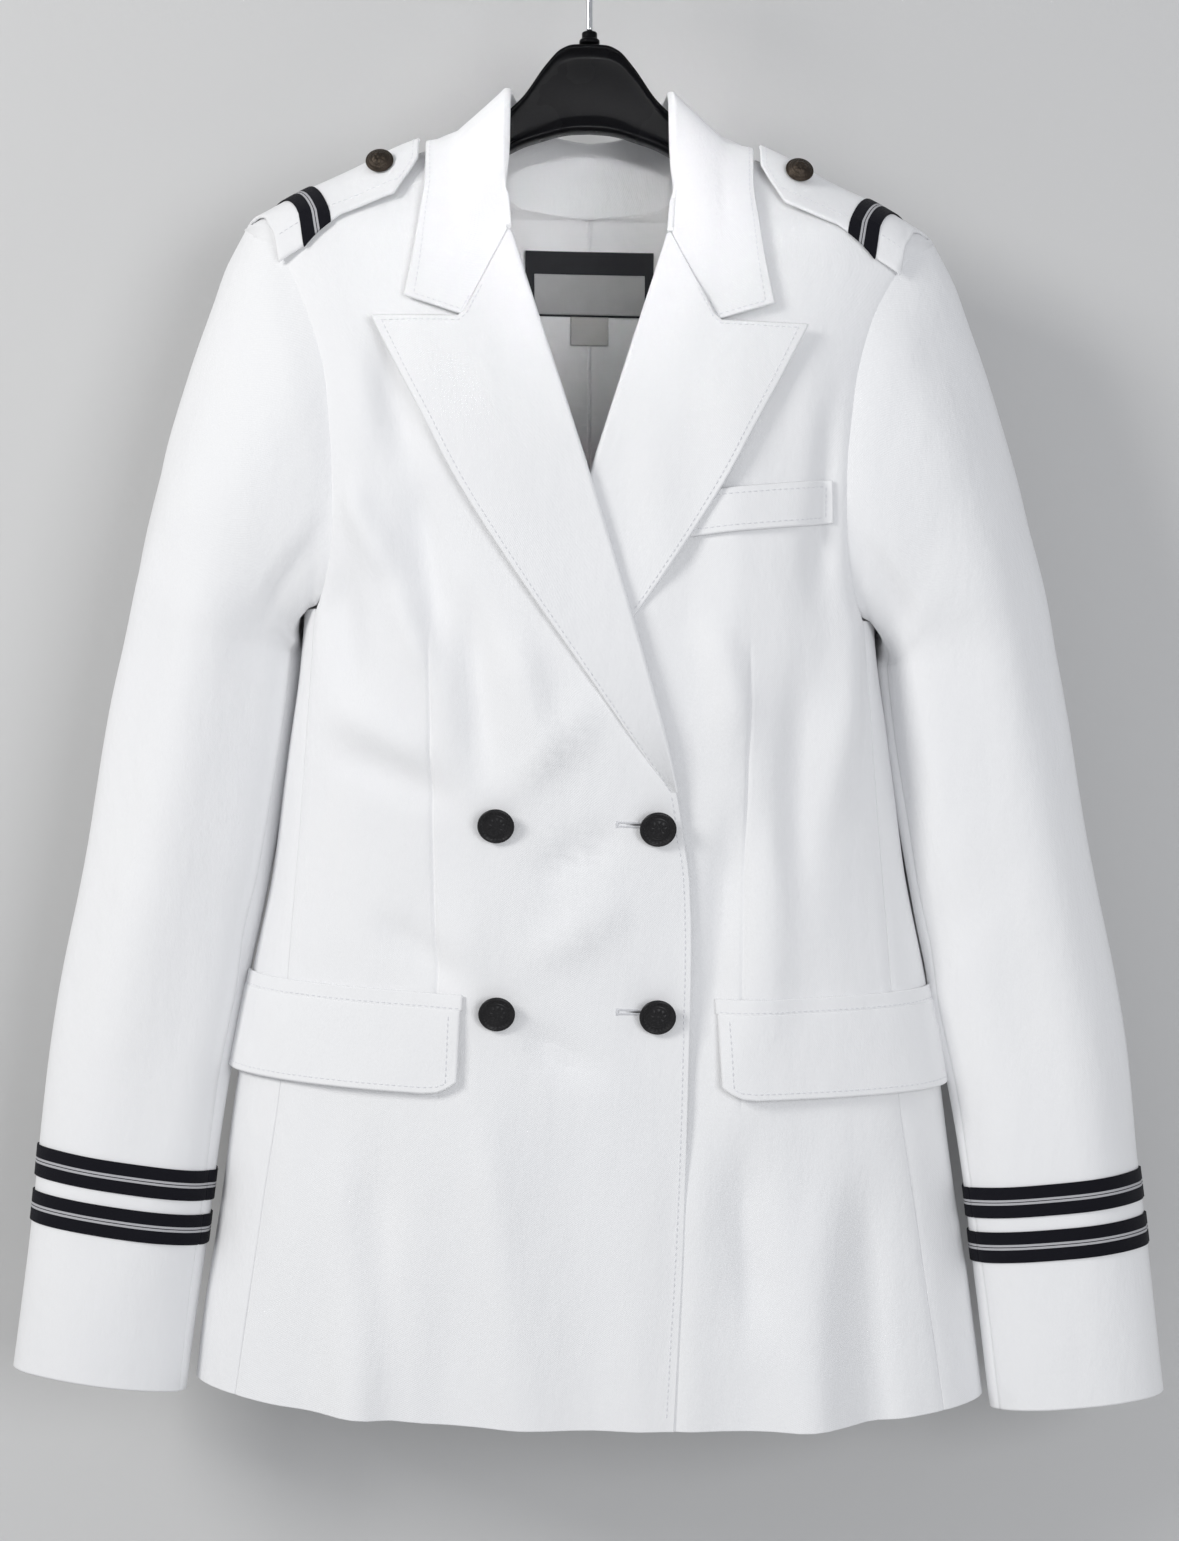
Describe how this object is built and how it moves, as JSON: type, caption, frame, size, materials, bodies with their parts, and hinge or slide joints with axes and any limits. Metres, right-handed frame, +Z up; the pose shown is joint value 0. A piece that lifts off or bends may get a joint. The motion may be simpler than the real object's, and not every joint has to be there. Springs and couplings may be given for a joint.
{
  "type": "flight attendant uniform blazer on a hanger",
  "caption": "White double-breasted uniform blazer with peaked lapels, shoulder straps and braided cuffs, hanging on a black plastic hanger by its wire hook.",
  "frame": {"origin": "the underside of the hook's top bend, where a rail or wall hook bears the hanger", "axes": "+Z up, +X towards the wearer's left (the viewer's right in front), the fronts face -Y"},
  "size_m": [0.6256, 0.1413, 0.8287],
  "materials": {
    "white_twill": "smooth white twill with a faint sheen",
    "braid": "black ribbed braid with thin silver-grey lines",
    "black_button": "near-black moulded button with a raised ornament",
    "brass_button": "dark antique brass dome",
    "black_label": "black woven label, bare",
    "satin_label": "grey satin label, bare",
    "size_label": "pale woven tab, bare",
    "black_plastic": "moulded gloss black",
    "chrome_wire": "bright wire"
  },
  "bodies": {
    "root": {"front_right": "white_twill", "side_panel_right": "white_twill", "back_right": "white_twill", "top_sleeve_right": "white_twill", "under_sleeve_right": "white_twill", "lapel_right": "white_twill", "pocket_flap_right": "white_twill", "pocket_welt_right": "white_twill", "shoulder_strap_right": "white_twill", "shoulder_strap_braid_right": "braid", "shoulder_strap_button_right": "brass_button", "cuff_braid_right_1": "braid", "cuff_button_right_1": "brass_button", "front_button_right_1": "black_button", "cuff_braid_right_2": "braid", "cuff_button_right_2": "brass_button", "front_button_right_2": "black_button", "front_left": "white_twill", "side_panel_left": "white_twill", "back_left": "white_twill", "top_sleeve_left": "white_twill", "under_sleeve_left": "white_twill", "lapel_left": "white_twill", "pocket_flap_left": "white_twill", "pocket_welt_left": "white_twill", "shoulder_strap_left": "white_twill", "shoulder_strap_braid_left": "braid", "shoulder_strap_button_left": "brass_button", "cuff_braid_left_1": "braid", "cuff_button_left_1": "brass_button", "front_button_left_1": "black_button", "cuff_braid_left_2": "braid", "cuff_button_left_2": "brass_button", "front_button_left_2": "black_button", "collar_fall": "white_twill", "collar_stand": "white_twill", "breast_welt": "white_twill", "label_black": "black_label", "label_satin": "satin_label", "label_size": "size_label", "hanger_body": "black_plastic", "hanger_ferrule": "black_plastic", "hanger_hook": "chrome_wire"}
  },
  "joints": []
}
